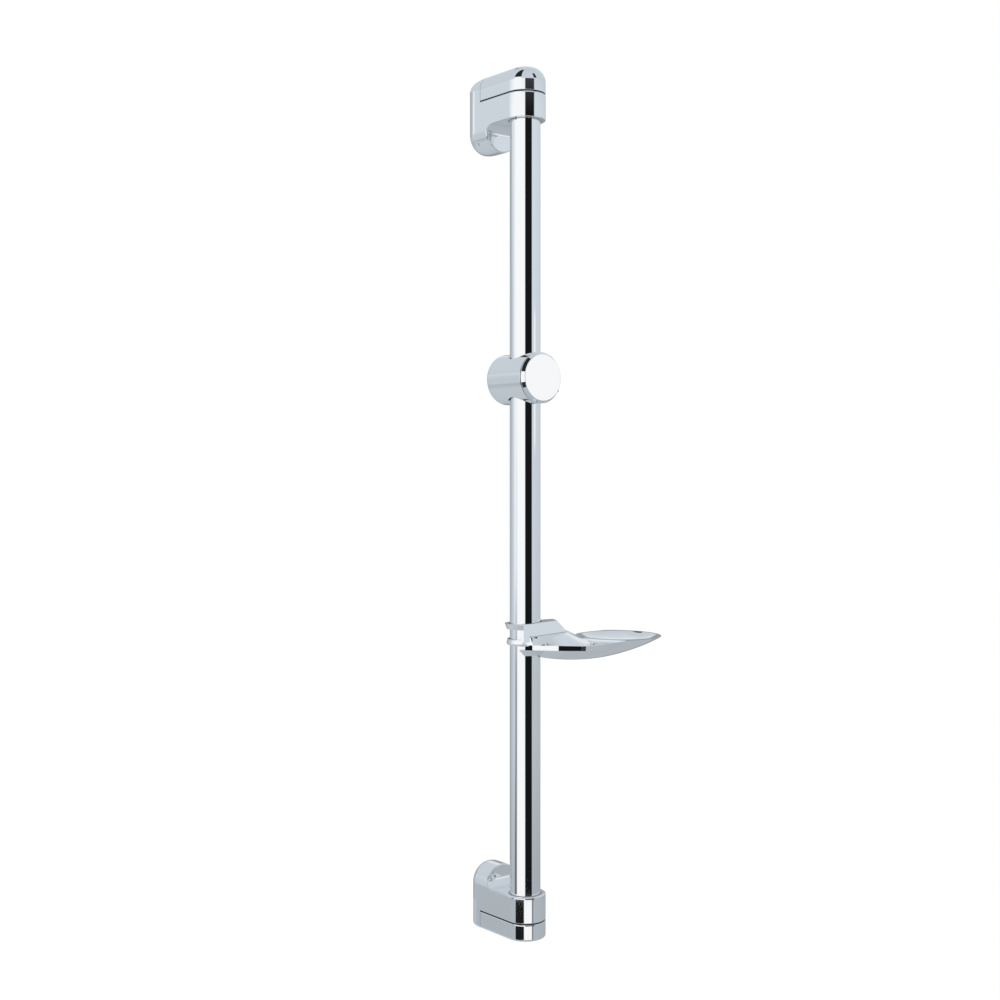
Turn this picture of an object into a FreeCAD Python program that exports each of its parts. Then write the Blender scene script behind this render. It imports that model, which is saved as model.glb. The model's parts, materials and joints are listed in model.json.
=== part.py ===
import FreeCAD, Part
import math
import os

# Shower slide rail: a tube held off the wall by two brackets, with a clamping
# slider for a hand shower and a soap dish that rides on the tube.
# Millimetres. +Z runs up the tube, the wall is the plane y = 0 and the room lies
# towards -Y. The origin is on the wall, midway between the two brackets.

# Tube
rail_diameter = 25.0
rail_wall = 1.0
rail_standoff = 54.3          # wall to tube axis
clear_span = 628.0            # tube in view between the two bracket arms

# Fits
press_gap = 0.02              # pieces pushed together
running_gap = 0.05            # pieces that turn or slide on each other
free_gap = 0.3                # pieces that pass without touching

# Bracket arm and the wall plate behind it
arm_width = 33.4
socket_depth = 16.5           # how far the tube goes into the arm
socket_floor = 4.0
plate_depth = 16.0            # wall to the back of the screw cover
back_depth = 10.2             # how far the flanks' rounding reaches from the wall
upper_back_width = 2.0        # and across
lower_back_width = 10.0
screw_level = 28.0            # arm's inner face to the wall screw
wall_screw_hole = 5.5

# Bracket tongue, which runs along the wall beside the tube
upper_tongue_reach = 20.5
lower_tongue_reach = 17.0
tongue_depth = 24.3
tongue_edge_round = 2.0
tongue_root_round = 7.0
weep_hole = 2.0
weep_reach = 13.4             # arm's inner face to the weep hole
weep_from_wall = 10.5
weep_depth = 5.0

# Screw covers beyond the groove
groove_gap = 1.0
cover_seam = 0.3
cover_wall = 2.2
cover_lap = 4.0               # how far the cover goes over its rim
cover_shoulder = 1.4
rim_wall = 2.0
upper_cover_height = 21.5
upper_cover_round = 12.0
upper_wall_round = 12.0       # the plate's end at the wall
lower_cover_height = 13.7
lower_cover_round = 2.0
lower_wall_round = 3.5

# Tube ends
bush_wall = 1.3
bush_recess = 0.8
plug_length = 14.0
tube_end_gap = 0.3
tube_screw_diameter = 5.0
tube_screw_length = 16.0
tube_screw_head = 9.2
tube_screw_head_height = 3.2
tube_screw_head_bevel = 1.0

# Slider barrel, measured from the tube axis
slider_height = 104.1
barrel_radius = 20.7
barrel_back = 26.4
barrel_front = 17.0
barrel_back_round = 4.0
barrel_front_bevel = 0.5
ring_wall = 1.1
ring_height = 6.0
ring_start = 8.5              # slider's middle to the ring
ring_shoulder = 0.65

# Clamp
knob_face = 22.6              # tube axis to the knob's face
knob_edge_round = 1.4
knob_rim_wall = 1.8
knob_plate = 2.6
knob_washer_thickness = 0.4
knob_washer_bore = 18.0
knob_washer_edge = 1.2
shoe_diameter = 15.0
shoe_thickness = 2.45
shoe_travel = 1.25
stud_diameter = 8.0
stud_tip_diameter = 5.0
stud_tip_length = 1.15
stud_head_flats = 11.0
stud_head_height = 1.5
nut_diameter = 12.0
nut_boss_wall = 2.5

# Hand shower cradle
cradle_seat = 17.0            # tube axis to the flat on the barrel's side
cradle_seat_radius = 10.5
cradle_pivot_back = 14.0      # pivot behind the tube axis
cradle_washer_thickness = 0.4
cradle_washer_diameter = 16.0
cradle_hub_diameter = 17.0
cradle_height = 18.0
cradle_bore_top = 22.0
cradle_bore_bottom = 20.0
cradle_wall = 2.0
cradle_slot = 14.5
cradle_edge_bevel = 0.5
cradle_screw_diameter = 8.0
cradle_screw_reach = 5.4      # screw's length inside the barrel
cradle_screw_head = 12.0
cradle_screw_head_height = 1.6
cradle_hub_floor = 2.2

# Soap dish, measured along the dish from the tube axis and up from its rim
dish_rim_height = -106.1
dish_turn = 62.4              # dish swung from the room towards +X, degrees
tray_centre = 74.0
tray_radius = 39.6
tray_depth = 19.0
keel_rise_start = 40.0        # where the keel starts to rise to the tip
keel_arc = 157.0
hull_arc = 60.0               # across the keel
bowl_centre = 79.0
bowl_radius = 32.0
bowl_depth = 9.5
drain_slot_width = 3.0
drain_slot_length = 24.0
drain_slot_pitch = 8.0
drain_slot_count = 3
grip_wall = 0.7
grip_angle = 75.0             # each way from the dish's direction
grip_height = 12.0
ring_clearance = 0.8          # dish rings to the tube
dish_ring_wall = 1.5
neck_foot_half_width = 15.6   # beside the tube
neck_back_half_width = 13.9   # and at the neck's top
neck_front_half_width = 3.5
neck_back_top = 12.2
neck_front_top = 13.8
neck_flat_end = 25.0
neck_slope_end = 37.0
neck_end_half_width = 8.0
upper_ring_top = 11.5
upper_ring_height = 4.5
upper_ring_flare = 1.8
sleeve_step = 0.3             # neck's sides to the sleeve round the tube
window_edge = -5.9            # rings stand alone behind this line
deck_start_rise = 1.0
deck_rise = 3.8
deck_top_end = 34.0
deck_top_half_width = 7.5
deck_end = 44.0
band_height = 4.9             # the edge's drop below the rim, from the tube to the deck's end
edge_front_drop = 0.6         # and beside the tray's centre
shoulder_start = 52.0         # where the edge's slope runs up to the rim
shoulder_half_width = 26.0
groove_height = 4.0
groove_depth = 4.0
skirt_edge = -4.5
neck_core_start = 17.5
neck_core_half_width = 5.0
neck_core_roof = 6.0
neck_core_round = 2.0

# Drawing aids
cut_over = 1.0                # how far a cut runs past the face it opens
same_place = 1e-4             # points nearer than this count as one
edge_samples = (0.02, 0.5, 0.98)

# Worked out from the sizes above
rail_radius = rail_diameter / 2
half_span = clear_span / 2
arm_half = arm_width / 2
arm_height = socket_depth + socket_floor
cover_base = arm_height + groove_gap
rim_top = cover_base + cover_lap
grip_inner = rail_radius + running_gap
grip_outer = grip_inner + grip_wall
dish_bore = rail_radius + ring_clearance
dish_ring = dish_bore + dish_ring_wall

UP = FreeCAD.Vector(0, 0, 1)
X_AXIS = FreeCAD.Vector(1, 0, 0)
Y_AXIS = FreeCAD.Vector(0, 1, 0)
CENTRE = FreeCAD.Vector(0, 0, 0)


def point(x, y, z):
    return FreeCAD.Vector(x, y, z)


def polygon_face(points):
    return Part.Face(Part.makePolygon(points + [points[0]]))


def outline_face(edges):
    return Part.Face(Part.Wire(Part.__sortEdges__(edges)))


def line(a, b):
    return Part.makeLine(a, b)


def arc(a, middle, b):
    return Part.Arc(a, middle, b).toShape()


def upright(radius, bottom, top, x=0.0, y=0.0):
    return Part.makeCylinder(radius, top - bottom, point(x, y, bottom), UP)


def sleeve(inner, outer, bottom, top):
    return upright(outer, bottom, top).cut(upright(inner, bottom, top))


def along_x(radius, start, end, y=0.0, z=0.0):
    return Part.makeCylinder(radius, end - start, point(start, y, z), X_AXIS)


def along_y(radius, start, end, x=0.0, z=0.0):
    return Part.makeCylinder(radius, end - start, point(x, start, z), Y_AXIS)


def box(x0, x1, y0, y1, z0, z1):
    return Part.makeBox(x1 - x0, y1 - y0, z1 - z0, point(x0, y0, z0))


def pick_edges(shape, test):
    # Edges whose ends and middle all pass the test
    picked = []
    for edge in shape.Edges:
        span = edge.LastParameter - edge.FirstParameter
        samples = [edge.valueAt(edge.FirstParameter + span * share) for share in edge_samples]
        if all(test(sample) for sample in samples):
            picked.append(edge)
    return picked


def near(a, b):
    return abs(a - b) < same_place


# Arm with a rounded outer end, set in from the outside by a wall's thickness.
# Its nose is turned about the tube axis and its flanks run straight to the wall.
def arm_block(inset, bottom, top, end_round):
    half = arm_half - inset
    shoulder = top - end_round
    crown = half - end_round
    diagonal = end_round * math.sqrt(0.5)
    bend = point(crown + diagonal, 0, shoulder + diagonal)
    right = [line(point(half, 0, bottom), point(half, 0, shoulder)),
             arc(point(half, 0, shoulder), bend, point(crown, 0, top))]
    left = [edge.mirror(CENTRE, X_AXIS) for edge in right]
    front = outline_face(right + left + [line(point(-half, 0, bottom), point(half, 0, bottom)),
                                         line(point(-crown, 0, top), point(crown, 0, top))])
    flanks = front.extrude(Y_AXIS * rail_standoff)
    section = outline_face(right + [line(point(0, 0, bottom), point(half, 0, bottom)),
                                    line(point(0, 0, bottom), point(0, 0, top)),
                                    line(point(0, 0, top), point(crown, 0, top))])
    nose = section.revolve(CENTRE, UP, -180)
    block = flanks.fuse(nose).removeSplitter()
    block.translate(point(0, -rail_standoff, 0))
    return block


# The same arm with a flat end
def flat_arm_block(inset, bottom, top):
    half = arm_half - inset
    block = box(-half, half, -rail_standoff, 0, bottom, top)
    return block.fuse(upright(half, bottom, top, 0, -rail_standoff)).removeSplitter()


# Right-hand outline from the wall forwards, with a quarter ellipse at the wall
def flank_edges(front, level, back_width):
    middle = point(arm_half - back_width, -back_depth, level)
    wall_end = middle + Y_AXIS * back_depth
    flank_end = middle + X_AXIS * back_width
    corner = Part.ArcOfEllipse(Part.Ellipse(wall_end, flank_end, middle), 0, math.pi / 2).toShape()
    return [corner, line(flank_end, point(arm_half, front, level))]


# What the rounded wall side leaves of a block. In front of the rounding it stands clear of the flanks.
def wall_side(bottom, top, end_round, back_width):
    front = -rail_standoff - arm_width
    wide = arm_half + cut_over
    low = bottom - cut_over
    corner = flank_edges(front, low, back_width)[0]
    right = [corner, line(point(arm_half, -back_depth, low), point(wide, -back_depth, low)),
             line(point(wide, -back_depth, low), point(wide, front, low))]
    left = [edge.mirror(CENTRE, X_AXIS) for edge in right]
    half_back = arm_half - back_width
    plan = outline_face(right + left + [line(point(-wide, front, low), point(wide, front, low)),
                                        line(point(-half_back, 0, low), point(half_back, 0, low))])
    bend = end_round * (1 - math.sqrt(0.5))

    def flank(y, z):
        return point(-arm_width, y, z)

    side = outline_face([line(flank(0, bottom), flank(0, top - end_round)),
                         arc(flank(0, top - end_round), flank(-bend, top - bend), flank(-end_round, top)),
                         line(flank(-end_round, top), flank(front, top)),
                         line(flank(front, top), flank(front, bottom)),
                         line(flank(front, bottom), flank(0, bottom))])
    return side.extrude(X_AXIS * (2 * arm_width)).common(plan.extrude(UP * (top + cut_over - low)))


# Tongue: round-ended in front view, with a hollow root under the arm
def bracket_tongue(tongue_reach, back_width):
    straight = tongue_reach - arm_half
    front = -tongue_depth - tongue_root_round
    run_out = front - tongue_edge_round * 2
    head = arm_height / 2
    half_back = arm_half - back_width
    half_plan = [line(point(0, 0, -straight), point(half_back, 0, -straight)),
                 line(point(0, 0, -straight), point(0, run_out, -straight)),
                 line(point(0, run_out, -straight), point(arm_half, run_out, -straight))]
    half_plan = outline_face(half_plan + flank_edges(run_out, -straight, back_width))
    right = half_plan.extrude(UP * (head + straight))
    body = right.fuse(right.mirror(CENTRE, X_AXIS)).removeSplitter()
    body = body.fuse(half_plan.revolve(point(0, 0, -straight), Y_AXIS, 180)).removeSplitter()
    bend = tongue_root_round * math.sqrt(0.5)

    def flank(y, z):
        return point(-arm_half, y, z)

    side = outline_face([line(flank(0, head), flank(run_out, head)),
                         line(flank(run_out, head), flank(run_out, 0)),
                         line(flank(run_out, 0), flank(front, 0)),
                         arc(flank(front, 0), flank(front + bend, -tongue_root_round + bend),
                             flank(-tongue_depth, -tongue_root_round)),
                         line(flank(-tongue_depth, -tongue_root_round), flank(-tongue_depth, -tongue_reach)),
                         line(flank(-tongue_depth, -tongue_reach), flank(0, -tongue_reach)),
                         line(flank(0, -tongue_reach), flank(0, head))])
    body = body.common(side.extrude(X_AXIS * arm_width))

    def at_front(p):
        if not run_out + same_place < p.y < -tongue_depth + same_place or p.z > same_place:
            return False
        if p.z > -straight:
            return near(abs(p.x), arm_half)
        return near(math.hypot(p.x, p.z + straight), arm_half)

    return body.makeFillet(tongue_edge_round, pick_edges(body, at_front))


# A bracket and its screw cover, measured up from the arm's inner face
def bracket_and_cover(tongue_reach, cover_height, cover_round, wall_round, back_width):
    top = cover_base + cover_height
    wall = wall_side(-tongue_reach, top, wall_round, back_width)
    envelope = arm_block(0, 0, top, cover_round).common(wall)
    far = -rail_standoff - arm_width
    seam = -plate_depth - cover_seam
    bracket = envelope.cut(box(-arm_width, arm_width, far, -plate_depth, arm_height, top + groove_gap))
    bracket = bracket.fuse(bracket_tongue(tongue_reach, back_width))
    rim_inset = cover_wall + press_gap
    rim = flat_arm_block(rim_inset, arm_height - press_gap, rim_top)
    rim = rim.cut(flat_arm_block(rim_inset + rim_wall, arm_height - press_gap, rim_top))
    rim = rim.common(box(-arm_width, arm_width, far, -plate_depth, 0, top))
    bracket = bracket.fuse(rim).removeSplitter()
    socket_radius = rail_radius + bush_wall + 2 * press_gap
    bracket = bracket.cut(upright(socket_radius, -tongue_reach, socket_depth, 0, -rail_standoff))
    screw_bore = tube_screw_diameter / 2 + running_gap
    bracket = bracket.cut(upright(screw_bore, 0, rim_top, 0, -rail_standoff))
    bracket = bracket.cut(along_y(wall_screw_hole / 2, -plate_depth - groove_gap, groove_gap, 0, screw_level))
    weep = along_x(weep_hole / 2, -arm_half - cut_over, -arm_half + weep_depth, -weep_from_wall, -weep_reach)
    bracket = bracket.cut(weep)
    cover = envelope.common(box(-arm_width, arm_width, far, seam, cover_base, top))
    lap_space = flat_arm_block(cover_wall, cover_base - groove_gap, rim_top)
    shoulder_inset = cover_wall + cover_shoulder
    head_top = top - cover_wall
    if cover_round > shoulder_inset:
        head_space = arm_block(shoulder_inset, arm_height, head_top, cover_round - shoulder_inset)
    else:
        head_space = flat_arm_block(shoulder_inset, arm_height, head_top)
    cover = cover.cut(lap_space).cut(head_space)
    return bracket, cover


def tube_end_pieces():
    bush = sleeve(rail_radius + press_gap, rail_radius + press_gap + bush_wall, bush_recess, socket_depth)
    plug_radius = rail_radius - rail_wall - press_gap
    screw_radius = tube_screw_diameter / 2
    plug = sleeve(screw_radius + press_gap, plug_radius, socket_depth - plug_length, socket_depth)
    head = upright(tube_screw_head / 2, arm_height, arm_height + tube_screw_head_height)
    crown = pick_edges(head, lambda p: near(p.z, arm_height + tube_screw_head_height))
    head = head.makeChamfer(tube_screw_head_bevel, crown)
    screw = head.fuse(upright(screw_radius, arm_height - tube_screw_length, arm_height)).removeSplitter()
    return bush, plug, screw


def rail_pieces():
    tube_end = half_span + socket_depth - tube_end_gap
    tube = sleeve(rail_radius - rail_wall, rail_radius, -tube_end, tube_end)
    tube.translate(point(0, -rail_standoff, 0))
    pieces = {"rail_tube": tube}
    ends = [("upper", upper_tongue_reach, upper_cover_height, upper_cover_round, upper_wall_round,
             upper_back_width),
            ("lower", lower_tongue_reach, lower_cover_height, lower_cover_round, lower_wall_round,
             lower_back_width)]
    for side, tongue_reach, cover_height, cover_round, wall_round, back_width in ends:
        bracket, cover = bracket_and_cover(tongue_reach, cover_height, cover_round, wall_round, back_width)
        bush, plug, screw = tube_end_pieces()
        for piece in (bush, plug, screw):
            piece.translate(point(0, -rail_standoff, 0))
        named = {"bracket": bracket, "cap": cover, "bush": bush, "plug": plug, "screw": screw}
        for name, shape in named.items():
            shape.translate(UP * half_span)
            if side == "lower":
                shape.rotate(CENTRE, Y_AXIS, 180)
            pieces[side + "_" + name] = shape
    return pieces


# The slider's pieces are measured from the tube axis, with the room towards -Y
def slide_ring_pieces():
    inner = rail_radius + running_gap
    upper = sleeve(inner, inner + ring_wall, ring_start, ring_start + ring_height)
    lower = upper.mirror(CENTRE, UP)
    return {"upper_slide_ring": upper, "lower_slide_ring": lower}


def barrel_pieces():
    ring_seat = rail_radius + 2 * running_gap + ring_wall
    middle_bore = ring_seat - ring_shoulder
    seat_start = ring_start - running_gap
    body = along_y(barrel_radius, -barrel_front, barrel_back)
    body = body.makeFillet(barrel_back_round, pick_edges(body, lambda p: near(p.y, barrel_back)))
    body = body.makeChamfer(barrel_front_bevel, pick_edges(body, lambda p: near(p.y, -barrel_front)))
    boss_end = -knob_face + knob_plate + free_gap
    boss = along_y(nut_diameter / 2 + nut_boss_wall, boss_end, -barrel_front + barrel_front_bevel)
    body = body.fuse(boss).removeSplitter()
    body = body.cut(upright(middle_bore, -barrel_radius, barrel_radius))
    body = body.cut(upright(ring_seat, seat_start, barrel_radius))
    body = body.cut(upright(ring_seat, -barrel_radius, -seat_start))
    shoe_front = -rail_radius - running_gap - shoe_thickness
    pocket_floor = shoe_front - shoe_travel - running_gap
    pocket_radius = shoe_diameter / 2 + running_gap
    body = body.cut(along_y(pocket_radius, pocket_floor, -rail_radius / 2))
    body = body.cut(along_y(nut_diameter / 2 + press_gap, boss_end, -rail_radius))
    seat_cut = along_x(cradle_seat_radius, cradle_seat, barrel_radius + cut_over, cradle_pivot_back)
    body = body.cut(seat_cut)
    screw_hole = cradle_screw_diameter / 2 + press_gap
    hole_end = cradle_seat - cradle_screw_reach - free_gap
    body = body.cut(along_x(screw_hole, hole_end, cradle_seat + cut_over, cradle_pivot_back))
    nut = along_y(nut_diameter / 2, boss_end, pocket_floor)
    nut = nut.cut(along_y(stud_diameter / 2 + running_gap, boss_end, pocket_floor))
    washer_front = -barrel_front - knob_washer_thickness
    washer = along_y(barrel_radius - knob_washer_edge, washer_front, -barrel_front)
    washer = washer.cut(along_y(knob_washer_bore / 2, washer_front, -barrel_front))
    return {"slider_barrel": body, "clamp_nut": nut, "knob_washer": washer}


def brake_pieces():
    shoe_front = -rail_radius - running_gap - shoe_thickness
    shoe = along_y(shoe_diameter / 2, shoe_front, -rail_radius / 2)
    shoe = shoe.cut(upright(rail_radius + running_gap, -shoe_diameter, shoe_diameter))
    tip_radius = stud_tip_diameter / 2
    socket_end = shoe_front + stud_tip_length + running_gap
    shoe = shoe.cut(along_y(tip_radius + running_gap, shoe_front, socket_end))
    return {"brake_shoe": shoe}


def knob_pieces():
    shoe_front = -rail_radius - running_gap - shoe_thickness
    plate_back = -knob_face + knob_plate
    rim_back = -barrel_front - knob_washer_thickness - free_gap
    knob = along_y(barrel_radius, -knob_face, rim_back)
    knob = knob.makeFillet(knob_edge_round, pick_edges(knob, lambda p: near(p.y, -knob_face)))
    knob = knob.cut(along_y(barrel_radius - knob_rim_wall, plate_back, rim_back))
    head_front = plate_back - stud_head_height
    head_radius = stud_head_flats / math.sqrt(3)
    corners = [point(head_radius * math.cos(math.radians(60 * i)), head_front,
                     head_radius * math.sin(math.radians(60 * i))) for i in range(6)]
    head = polygon_face(corners).extrude(Y_AXIS * stud_head_height)
    knob = knob.cut(head)
    shank_back = shoe_front - running_gap
    stud = head.fuse(along_y(stud_diameter / 2, plate_back, shank_back))
    tip = along_y(stud_tip_diameter / 2, shank_back, shank_back + stud_tip_length)
    stud = stud.fuse(tip).removeSplitter()
    return {"clamp_knob": knob, "clamp_stud": stud}


def cradle_pieces():
    hub_face = cradle_seat + cradle_washer_thickness + running_gap
    hub_floor = hub_face + cradle_hub_floor
    head_end = hub_floor + running_gap + cradle_screw_head_height
    top_inner = cradle_bore_top / 2
    bottom_inner = cradle_bore_bottom / 2
    centre_x = head_end + top_inner
    half = cradle_height / 2
    cup = Part.makeCone(bottom_inner + cradle_wall, top_inner + cradle_wall, cradle_height,
                        point(centre_x, cradle_pivot_back, -half), UP)
    cup = cup.makeChamfer(cradle_edge_bevel, pick_edges(cup, lambda p: near(abs(p.z), half)))
    hub = along_x(cradle_hub_diameter / 2, hub_face, centre_x, cradle_pivot_back)
    cradle = cup.fuse(hub).removeSplitter()
    slope = (top_inner - bottom_inner) / cradle_height
    over = cradle_wall
    bore = Part.makeCone(bottom_inner - slope * over, top_inner + slope * over, cradle_height + 2 * over,
                         point(centre_x, cradle_pivot_back, -half - over), UP)
    cradle = cradle.cut(bore)
    slot_end = cradle_pivot_back - top_inner - 2 * cradle_wall
    slot = box(centre_x - cradle_slot / 2, centre_x + cradle_slot / 2, slot_end, cradle_pivot_back,
               -cradle_height, cradle_height)
    cradle = cradle.cut(slot)
    screw_radius = cradle_screw_diameter / 2
    cradle = cradle.cut(along_x(screw_radius + running_gap, cradle_seat, centre_x, cradle_pivot_back))
    head_radius = cradle_screw_head / 2
    cradle = cradle.cut(along_x(head_radius + free_gap, hub_floor, centre_x, cradle_pivot_back))
    head_start = hub_floor + running_gap
    screw = along_x(screw_radius, cradle_seat - cradle_screw_reach, head_start, cradle_pivot_back)
    head = along_x(head_radius, head_start, head_end, cradle_pivot_back)
    screw = screw.fuse(head).removeSplitter()
    washer_end = cradle_seat + cradle_washer_thickness
    washer = along_x(cradle_washer_diameter / 2, cradle_seat, washer_end, cradle_pivot_back)
    washer = washer.cut(along_x(screw_radius + press_gap, cradle_seat, washer_end, cradle_pivot_back))
    return {"shower_cradle": cradle, "cradle_screw": screw, "cradle_washer": washer}


def slider_pieces():
    pieces = {}
    for group in (slide_ring_pieces(), barrel_pieces(), brake_pieces(), knob_pieces(), cradle_pieces()):
        pieces.update(group)
    for shape in pieces.values():
        shape.translate(point(0, -rail_standoff, slider_height))
    return pieces


# Plan of the dish: a small circle round the tube and a large one round the tray,
# joined by the two lines that touch both, all drawn in by an inset.
def dish_plan(inset, level):
    small = dish_ring - inset
    large = tray_radius - inset
    lean = math.asin((large - small) / tray_centre)
    touch_small = point(-small * math.sin(lean), small * math.cos(lean), level)
    touch_large = point(tray_centre - large * math.sin(lean), large * math.cos(lean), level)
    other_small = point(touch_small.x, -touch_small.y, level)
    other_large = point(touch_large.x, -touch_large.y, level)
    return outline_face([arc(touch_small, point(-small, 0, level), other_small),
                         line(other_small, other_large),
                         arc(other_large, point(tray_centre + large, 0, level), touch_large),
                         line(touch_large, touch_small)])


# Half width of the plan where its straight sides run
def plan_half_width(along):
    lean = math.asin((tray_radius - dish_ring) / tray_centre)
    return dish_ring / math.cos(lean) + along * math.tan(lean)


# Tray and its keel: the plan cut to a round-bottomed hull, which runs level from the
# tube and then follows an arc up to the tip
def dish_hull():
    slab = dish_plan(0, -tray_depth).extrude(UP * tray_depth)
    run = along_x(hull_arc, -2 * dish_ring, keel_rise_start, 0, hull_arc - tray_depth)
    keel_middle = point(keel_rise_start, 0, keel_arc - tray_depth)
    ring = Part.makeTorus(keel_arc - hull_arc, hull_arc, keel_middle, Y_AXIS)
    bow_end = tray_centre + 2 * tray_radius
    bow = ring.common(box(keel_rise_start, bow_end, -hull_arc, hull_arc, -keel_arc, keel_arc / 2))
    return slab.common(run.fuse(bow))


# What is shaved off beside the bowl, so that the edge falls from the rim towards the tube
def edge_slopes():
    reach = tray_centre + tray_radius
    front = point(tray_centre, tray_radius, -edge_front_drop)
    back = point(deck_end, plan_half_width(deck_end), -band_height)
    top = point(shoulder_start, shoulder_half_width, 0)
    slope = (front - back).cross(top - back)

    def on_slope(x, y):
        return point(x, y, back.z - (slope.x * (x - back.x) + slope.y * (y - back.y)) / slope.z)

    face = polygon_face([on_slope(-reach, 0), on_slope(reach, 0),
                         on_slope(reach, reach), on_slope(-reach, reach)])
    right = face.extrude(UP * (2 * reach)).common(box(-reach, reach, 0, reach, -band_height, reach))
    return [right, right.mirror(CENTRE, Y_AXIS)]


# Solid between a level outline and one that stands on it, each a symmetrical trapezium
# given as its start and end: place along the dish, half width and height
def tapered_block(low_start, low_end, high_start, high_end):
    wires = []
    for (x0, y0, z0), (x1, y1, z1) in ((low_start, low_end), (high_start, high_end)):
        corners = [point(x0, -y0, z0), point(x1, -y1, z1), point(x1, y1, z1), point(x0, y0, z0)]
        wires.append(Part.makePolygon(corners + corners[:1]))
    return Part.makeLoft(wires, True, True)


# Neck, the deck that it stands on and the sleeve that takes it round the tube
def dish_neck():
    deck = tapered_block((0, plan_half_width(0), -band_height),
                         (deck_end, plan_half_width(deck_end), -band_height),
                         (0, neck_foot_half_width, deck_start_rise),
                         (deck_top_end, deck_top_half_width, deck_rise))
    neck = tapered_block((0, neck_foot_half_width, 0),
                         (neck_slope_end, neck_end_half_width, 0),
                         (0, neck_back_half_width, neck_back_top),
                         (neck_flat_end, neck_front_half_width, neck_front_top))
    foot = neck_foot_half_width - sleeve_step
    head = neck_back_half_width - sleeve_step
    low = -band_height / 2
    section = polygon_face([point(0, 0, low), point(foot, 0, low), point(foot, 0, 0),
                            point(head, 0, upper_ring_top), point(0, 0, upper_ring_top)])
    return deck.fuse(neck).fuse(section.revolve(CENTRE, UP, 360))


def dish_upper_ring():
    base = upper_ring_top - upper_ring_height
    flared = dish_ring + upper_ring_flare
    section = polygon_face([point(0, 0, base), point(dish_ring, 0, base),
                            point(flared, 0, upper_ring_top), point(0, 0, upper_ring_top)])
    return section.revolve(CENTRE, UP, 360)


def dish_bowl():
    bowl_ball = (bowl_radius ** 2 + bowl_depth ** 2) / (2 * bowl_depth)
    return Part.makeSphere(bowl_ball, point(bowl_centre, 0, bowl_ball - bowl_depth))


def drain_slots():
    slots = []
    radius = drain_slot_width / 2
    start = bowl_centre - drain_slot_length / 2 + radius
    end = bowl_centre + drain_slot_length / 2 - radius
    low = -tray_depth - cut_over
    for index in range(drain_slot_count):
        offset = (index - (drain_slot_count - 1) / 2) * drain_slot_pitch
        slot = box(start, end, offset - radius, offset + radius, low, 0)
        slot = slot.fuse([upright(radius, low, 0, start, offset), upright(radius, low, 0, end, offset)])
        slots.append(slot)
    return slots


def dish_pieces():
    dish = dish_hull()
    for slope in edge_slopes():
        dish = dish.cut(slope)
    dish = dish.fuse([dish_neck(), dish_upper_ring()]).removeSplitter()
    reach = tray_centre + tray_radius
    ring_gap_top = upper_ring_top - upper_ring_height
    window = box(-reach, window_edge, -reach, reach, 0, ring_gap_top)
    skirt_cut = box(-reach, skirt_edge, -reach, reach, -2 * tray_depth, -band_height)
    groove_low = -band_height - groove_height
    groove = dish_plan(-groove_depth, groove_low).extrude(UP * groove_height)
    groove = groove.cut(dish_plan(groove_depth, groove_low).extrude(UP * groove_height))
    groove = groove.common(box(-reach, deck_end, -reach, reach, groove_low, -band_height))
    core_low = -2 * tray_depth
    core_top = neck_back_top - neck_core_roof
    core = box(neck_core_start, neck_flat_end, -neck_core_half_width, neck_core_half_width,
               core_low, core_top)
    core_corners = pick_edges(core, lambda p: core_low + same_place < p.z < core_top - same_place)
    core = core.makeFillet(neck_core_round, core_corners)
    for tool in [dish_bowl(), window, skirt_cut, groove, core] + drain_slots():
        dish = dish.cut(tool)
    dish = dish.cut(upright(dish_bore, -2 * tray_depth, 2 * neck_front_top))
    pad = sleeve(grip_inner, grip_outer, -band_height - running_gap, grip_height - band_height)
    wedge_reach = 2 * grip_outer
    side_x = wedge_reach * math.cos(math.radians(grip_angle))
    side_y = wedge_reach * math.sin(math.radians(grip_angle))
    wedge = polygon_face([CENTRE, point(side_x, -side_y, 0), point(2 * wedge_reach, 0, 0),
                          point(side_x, side_y, 0)])
    wedge = wedge.extrude(UP * (2 * grip_height))
    wedge.translate(UP * -grip_height)
    pad = pad.common(wedge)
    pieces = {"soap_dish": dish, "dish_grip_pad": pad}
    for shape in pieces.values():
        shape.rotate(CENTRE, UP, dish_turn - 90)
        shape.translate(point(0, -rail_standoff, dish_rim_height))
    return pieces


def main():
    os.makedirs("parts", exist_ok=True)
    pieces = {}
    for group in (rail_pieces(), slider_pieces(), dish_pieces()):
        pieces.update(group)
    for name, shape in pieces.items():
        shape.exportStep("parts/" + name + ".step")
    print(len(pieces), "pieces written")


main()
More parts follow.
